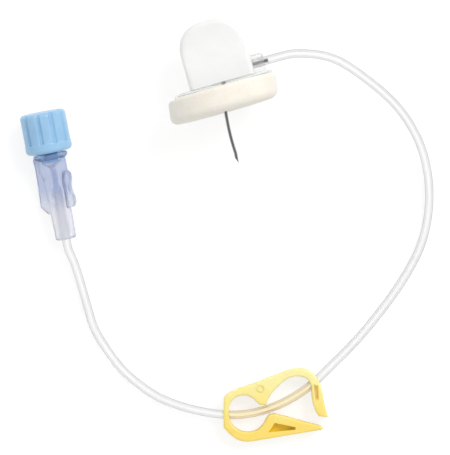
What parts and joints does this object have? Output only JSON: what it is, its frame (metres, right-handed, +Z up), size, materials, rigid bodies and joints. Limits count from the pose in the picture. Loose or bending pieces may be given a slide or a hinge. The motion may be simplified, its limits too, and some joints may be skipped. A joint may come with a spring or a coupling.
{
  "type": "huber needle set",
  "caption": "Right-angle port needle with a lift-off grip, foam pad, clear extension tube, pinch clamp and capped winged luer connector.",
  "frame": {"origin": "on the table, under the middle of the needle head, which stands on the rim of its foam pad", "axes": "+Z up from the table, -Y the way the foam pad's skin face looks and the needle points, +X the way the side port leaves the hub"},
  "size_m": [0.0964, 0.1054, 0.0276],
  "materials": {
    "needle_steel": "fine drawn stainless steel",
    "hub_clear": "clear moulded plastic",
    "grip_white": "satin opaque white plastic",
    "foam_cream": "fine closed-cell cream foam",
    "tube_clear": "clear flexible tubing",
    "clamp_yellow": "satin yellow plastic, slightly translucent",
    "connector_violet": "pale violet translucent plastic",
    "cap_blue": "satin light blue plastic"
  },
  "bodies": {
    "needle_set": {"hub": "hub_clear", "needle": "needle_steel", "foam_pad": "foam_cream", "tube": "tube_clear", "clamp": "clamp_yellow", "luer_connector": "connector_violet"},
    "grip": {"grip": "grip_white"},
    "cap": {"luer_cap": "cap_blue"}
  },
  "joints": [
    {"name": "grip_lift", "type": "slide", "parent": "needle_set", "child": "grip", "axis": [0, 1, 0], "range_m": [0, 0.012]},
    {"name": "cap_pull", "type": "slide", "parent": "needle_set", "child": "cap", "axis": [0.0868, 0.9924, 0.0872], "range_m": [0, 0.012]}
  ]
}
